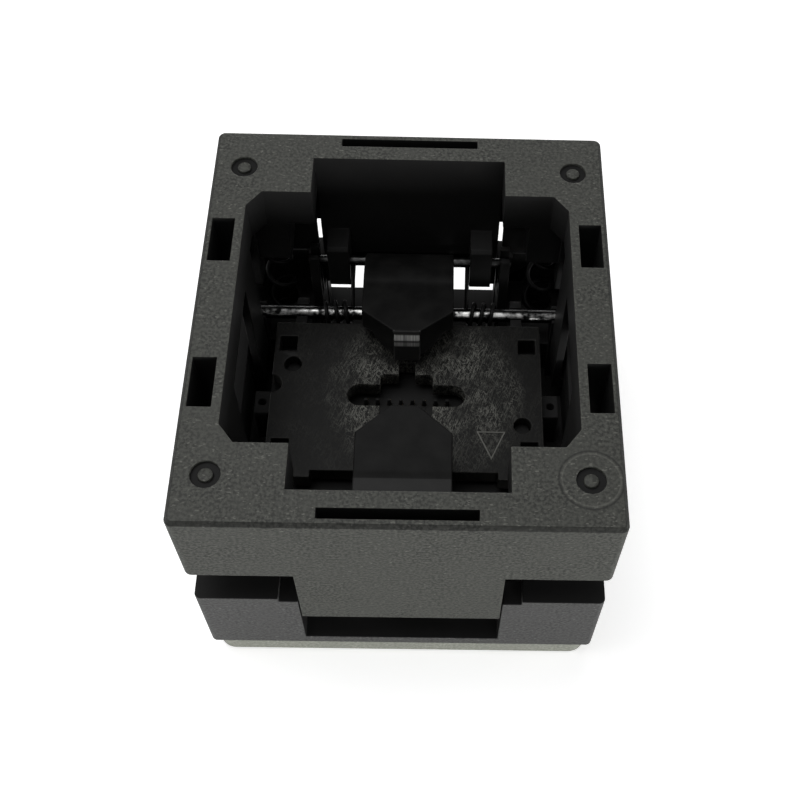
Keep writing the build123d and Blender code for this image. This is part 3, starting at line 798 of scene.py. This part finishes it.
def front_tail(middle, normal):
    """The rounded back of the front latch, past its bend, painted paler as the sheen it catches
    from the front.
    """
    in_reach = middle.y < -tail_y and middle.z > tail_z
    return in_reach and normal.y < 0 and normal.z > tail_up_from


def contact_tips(middle, normal):
    """The upper ends of the contacts, which stand in the slot of the nest, painted black as shade.
    """
    return middle.z > tips_z


# %% Dress the mouldings
dress(cover, cover_plastic, (painted_shade_black, inside_cover), (chamfer_painted_shade, cover_edge))
dress(base, base_plastic, (painted_shade_black, inside_base))
dress(lower_plate, pale_plastic, (painted_shade_black, plate_top))
dress(nest, nest_plastic)
for latch in latches:
    dress(latch, latch_black,
          (latch_wear_and_sheen, nose_face), (nose_wear_and_highlight, nose_slope), (latch_wear_and_sheen, front_tail))
# The contact block under the slot wears the same black, which stands in for shade there.
dress(frame["nodes"]["contact_block"], painted_shade_black)
dress(contacts, contact_gold, (painted_shade_black, contact_tips))
print("dressed the mouldings and the contacts")

# %% [markdown]
# ## Springs of round wire
# The CAD springs are square wire in straight runs, which is enough to weigh and clash-test
# them. The real ones are round wire wound on a mandrel, and they can be modelled the way they
# are made: a small disc is the cut end of the wire, and it is pushed out, turned and lifted
# step by step round the axis. The disc that started it closes one end and the moved one the
# other.

# %% Wind a coil
wire_sides = 10
steps_per_turn = 24
wire_smooth = radians(50)


def start_wire(wire_r, place):
    """The cut end of a wire that points along Y, open in edit mode and all selected."""
    select_only()
    bpy.ops.mesh.primitive_circle_add(vertices=wire_sides, radius=wire_r, fill_type="NGON",
                                      location=place, rotation=(pi / 2, 0, 0))
    wire = bpy.context.object
    settle(wire, "wire")
    edit(wire)
    return wire


def draw_wire(push):
    """Pushes the selected end of the wire out in a straight run."""
    bpy.ops.mesh.extrude_region_move(TRANSFORM_OT_translate={"value": push})


def wind_wire(turns, rise):
    """Winds the selected end round Z, clockwise seen from above, while it climbs by the rise."""
    steps = round(turns * steps_per_turn)
    axis_turn = Matrix.Rotation(-2 * pi * turns / steps, 4, "Z")
    for _ in range(steps):
        bpy.ops.mesh.extrude_region_move(TRANSFORM_OT_translate={"value": (0, 0, rise / steps)})
        turn_selected(axis_turn)


def turn_selected(rotation):
    """Turns the selected vertices of the open mesh."""
    shape = bmesh.from_edit_mesh(bpy.context.object.data)
    bmesh.ops.transform(shape, matrix=rotation, verts=[vert for vert in shape.verts if vert.select])
    bmesh.update_edit_mesh(bpy.context.object.data)


def finish_wire(wire):
    """Closes the edit, turns the faces outwards and smooths the wire but not its cut ends."""
    bpy.ops.object.mode_set(mode="OBJECT")
    face_outwards(wire)
    bpy.ops.object.shade_smooth_by_angle(angle=wire_smooth)
    return wire


# %% [markdown]
# The four cover springs lift the cover. A real compression spring has its first and last turn
# pressed flat, so that it stands square in its bore, and it is open between. The nest springs
# are the same thing smaller. Both shorten as their joint moves, but these copies keep their
# length.

# %% Cover and nest springs
closed_turns, closed_pitch = 0.75, 0.8


def compression_spring(node_name, wire_d, turns):
    """A coil the size of its CAD node, with a closed turn at each end, round the Z axis from the
    node's bottom.
    """
    low, high = (Vector(corner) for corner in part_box(node_name))
    mean_r = (high.x - low.x - wire_d) / 2
    closed_rise = closed_pitch * wire_d
    open_rise = high.z - low.z - wire_d - 2 * closed_rise
    spring = start_wire(wire_d / 2, (mean_r, 0, low.z + wire_d / 2))
    wind_wire(closed_turns, closed_rise)
    wind_wire(turns, open_rise)
    wind_wire(closed_turns, closed_rise)
    return finish_wire(spring)


def middle_of(node_name):
    """The middle of a node's box."""
    low, high = (Vector(corner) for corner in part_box(node_name))
    return (low + high) / 2


def place_springs(model, node_names):
    """A copy of the model spring at each node; the model is removed."""
    for node_name in node_names:
        middle = middle_of(node_name)
        spring = twin(model, f"{node_name}_wire", shift=(middle.x, middle.y, 0))
        bpy.ops.object.shade_smooth_by_angle(angle=wire_smooth)
        dress(spring, wire_black)
        stand_in(spring, node_name)
        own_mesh(spring)
    print(len(node_names), "springs of", len(model.data.polygons), "faces")
    bpy.data.objects.remove(model)


corners = [f"{end}_{side}" for end in ("front", "rear") for side in ("left", "right")]
cover_springs = [f"cover_spring_{corner}" for corner in corners]
nest_springs = ["nest_spring_left", "nest_spring_right"]
cover_spring = compression_spring(cover_springs[0], wire_d=0.42 * mm, turns=4)
place_springs(cover_spring, cover_springs)
nest_spring = compression_spring(nest_springs[0], wire_d=0.24 * mm, turns=3)
place_springs(nest_spring, nest_springs)

# %% [markdown]
# A torsion spring on each end of a pivot shaft holds its latch shut. One straight leg reaches
# out under the drive pin, three turns go round the shaft, and the other leg runs into a hole
# in the deck. It is one wire, so it is drawn in one go: leg, coil, leg. The pin end turns with
# the latch and the other stays in the base.

# %% Torsion spring model
shaft_middle = middle_of("pivot_shaft_rear")
pin_middle = middle_of("drive_pin_rear")
torsion_wire = 0.38 * mm
torsion_mean_r = 1.0 * mm
coil_start, coil_end = 5.17 * mm, 7.90 * mm
pin_leg, ground_leg = 5.10 * mm, 2.55 * mm
lean = radians(39.4)
torsion_turns = 3 + lean / (2 * pi)

torsion = start_wire(torsion_wire / 2, (torsion_mean_r, pin_leg, 0))
draw_wire((0, -pin_leg, 0))
wind_wire(torsion_turns, coil_end - coil_start)
end_angle = -2 * pi * torsion_turns
draw_wire((ground_leg * sin(end_angle), -ground_leg * cos(end_angle), 0))
finish_wire(torsion)
across_shaft = Vector((1, 0, 0))
to_coil_start = Vector((0, sin(lean), -cos(lean)))
along_leg = across_shaft.cross(to_coil_start)
torsion_turn = Matrix((to_coil_start, along_leg, across_shaft)).transposed()
torsion_place = Vector((coil_start, shaft_middle.y, shaft_middle.z))
torsion.matrix_world = Matrix.Translation(torsion_place) @ torsion_turn.to_4x4()
settle(torsion, "torsion_model")
print("torsion spring model of", len(torsion.data.polygons), "faces")

# %% Place the torsion springs
for corner in corners:
    end, side = corner.split("_")
    flip = (-1 if side == "left" else 1, -1 if end == "front" else 1, 1)
    spring = twin(torsion, f"torsion_spring_{corner}_wire", flip)
    bpy.ops.object.shade_smooth_by_angle(angle=wire_smooth)
    dress(spring, wire_black)
    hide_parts(f"torsion_spring_{corner}")
    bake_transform(spring)
bpy.data.objects.remove(torsion)
to_pin = pin_middle - shaft_middle
print(f"4 torsion springs, {to_pin.length / mm:.2f} mm from shaft to drive pin")

# %% [markdown]
# ## Pins and shafts
# Ground pins have a small radius at each end, so that they can be pressed in without cutting
# the plastic. Each starts as a cylinder the size of its CAD node, and the rims of its two ends
# are bevelled in edit mode. The guide pins of the nest keep their CAD shape and are black.

# %% Pins
pin_sides = 32
pin_smooth = radians(40)


def end_rounded_pin(node_name, rounding):
    """A cylinder along X the size of its node, with rounded ends."""
    low, high = (Vector(corner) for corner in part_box(node_name))
    select_only()
    bpy.ops.mesh.primitive_cylinder_add(
        vertices=pin_sides, radius=(high.z - low.z) / 2, depth=high.x - low.x,
        location=(low + high) / 2, rotation=(0, pi / 2, 0))
    pin = settle(bpy.context.object, f"{node_name}_ground")
    edit(pin)
    pick_faces(pin, lambda middle, normal: abs(normal.x) > 0.9)
    bpy.ops.mesh.bevel(offset=rounding, segments=3, affect="EDGES")
    bpy.ops.object.mode_set(mode="OBJECT")
    bpy.ops.object.shade_smooth_by_angle(angle=pin_smooth)
    stand_in(pin, node_name)
    return pin


for end in ("front", "rear"):
    dress(end_rounded_pin(f"pivot_shaft_{end}", rounding=0.12 * mm), shaft_steel)
    dress(end_rounded_pin(f"drive_pin_{end}", rounding=0.10 * mm), pin_steel)
dress(frame["nodes"]["nest_guide_pins"], pin_black)
print("2 pivot shafts and 2 drive pins")

# %% [markdown]
# ## Screws
# Four countersunk screws hold the lower plate on from below. A cross recess is too small for
# the CAD model but easy here. The head is the end of the shank pushed down and widened. The
# cutter for the recess is a cube whose four side faces are pushed out into arms, and a Boolean
# modifier takes it out of the head.

# %% Screw with a countersunk head
high_screw = Vector(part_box("plate_screws")[1])
head_r, head_h, shank_r, rim_round = 1.4 * mm, 0.8 * mm, 0.8 * mm, 0.06 * mm
screw_x, screw_y = high_screw.x - head_r, high_screw.y - head_r

select_only()
bpy.ops.mesh.primitive_cylinder_add(
    vertices=pin_sides, radius=shank_r, depth=high_screw.z - head_h,
    location=(0, 0, (high_screw.z + head_h) / 2))
screw = settle(bpy.context.object, "screw_model")
edit(screw)
pick_faces(screw, lambda middle, normal: normal.z < -0.9)
bpy.ops.mesh.extrude_region_move(TRANSFORM_OT_translate={"value": (0, 0, -head_h)})
widen = head_r / shank_r
bpy.ops.transform.resize(value=(widen, widen, 1), center_override=(0, 0, 0))
bpy.ops.mesh.bevel(offset=rim_round, segments=2, affect="EDGES")
bpy.ops.object.mode_set(mode="OBJECT")
print("plain screw of", len(screw.data.polygons), "faces")

# %% Cutter for the cross recess
recess_half, recess_reach, recess_depth = 0.17 * mm, 0.50 * mm, 0.45 * mm

select_only()
bpy.ops.mesh.primitive_cube_add(size=2 * recess_half, location=(0, 0, recess_depth - recess_half))
cutter = settle(bpy.context.object, "recess_cutter")
edit(cutter)
pick_faces(cutter, lambda middle, normal: abs(normal.z) < 0.1)
bpy.ops.mesh.extrude_faces_move(TRANSFORM_OT_shrink_fatten={"value": recess_reach})
pick_faces(cutter, lambda middle, normal: normal.z < -0.9)
bpy.ops.mesh.extrude_region_move(TRANSFORM_OT_translate={"value": (0, 0, -recess_depth)})
bpy.ops.object.mode_set(mode="OBJECT")
face_outwards(cutter)
print("cutter of", len(cutter.data.polygons), "faces")

# %% Cut the recess and place the screws
select_only(screw)
cross = screw.modifiers.new("cross_recess", "BOOLEAN")
cross.operation = "DIFFERENCE"
cross.object = cutter
bpy.ops.object.modifier_apply(modifier=cross.name)
bpy.data.objects.remove(cutter)
plate_corners = ((1, 1), (-1, 1), (1, -1), (-1, -1))
for number, (side_x, side_y) in enumerate(plate_corners, start=1):
    copy = twin(screw, f"plate_screw_{number}", shift=(side_x * screw_x, side_y * screw_y, 0))
    bpy.ops.object.shade_smooth_by_angle(angle=pin_smooth)
    dress(copy, screw_steel)
    stand_in(copy, "plate_screws")
bpy.data.objects.remove(screw)
print("4 screws at", round(screw_x / mm, 2), round(screw_y / mm, 2), "mm from the middle")

# %% [markdown]
# ## The corner mark on the nest
# A fine raised triangle near the front right corner of the nest plate shows which way round a
# package goes in. It starts as a circle of three points, is stretched to its size, and its
# face is inset. The middle is deleted and the frame that is left is raised by a hair.

# %% Raised triangle
mark_width, mark_depth = 2.40 * mm, 2.67 * mm
mark_line, mark_rise, mark_sunk = 0.10 * mm, 0.035 * mm, 0.02 * mm
mark_place = (7.16 * mm, -4.35 * mm)
nest_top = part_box("nest_plate")[1][2]

select_only()
bpy.ops.mesh.primitive_circle_add(vertices=3, radius=1, fill_type="NGON", rotation=(0, 0, pi))
mark = settle(bpy.context.object, "corner_mark")
mark.scale = (mark_width / (2 * sin(pi / 3)), mark_depth / (1 + cos(pi / 3)), 1)
mark.location = (*mark_place, nest_top - mark_sunk)
settle(mark, "corner_mark")
edit(mark)
bpy.ops.mesh.inset(thickness=mark_line)
bpy.ops.mesh.delete(type="FACE")
bpy.ops.mesh.select_all(action="SELECT")
bpy.ops.mesh.extrude_region_move(TRANSFORM_OT_translate={"value": (0, 0, mark_sunk + mark_rise)})
bpy.ops.object.mode_set(mode="OBJECT")
face_outwards(mark)
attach(mark, frame["nodes"]["nest_plate"]["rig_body"])
mark_plastic = black_plastic(
    "mark_grey", colour=(0.120, 0.120, 0.108), wear_and_glint_colour=(0.180, 0.180, 0.162),
    roughness=0.45, specular=0.2, edge_wear_and_glint=0.4)
dress(mark, mark_plastic)
print("corner mark", [round(size / mm, 2) for size in mark.dimensions], "mm")
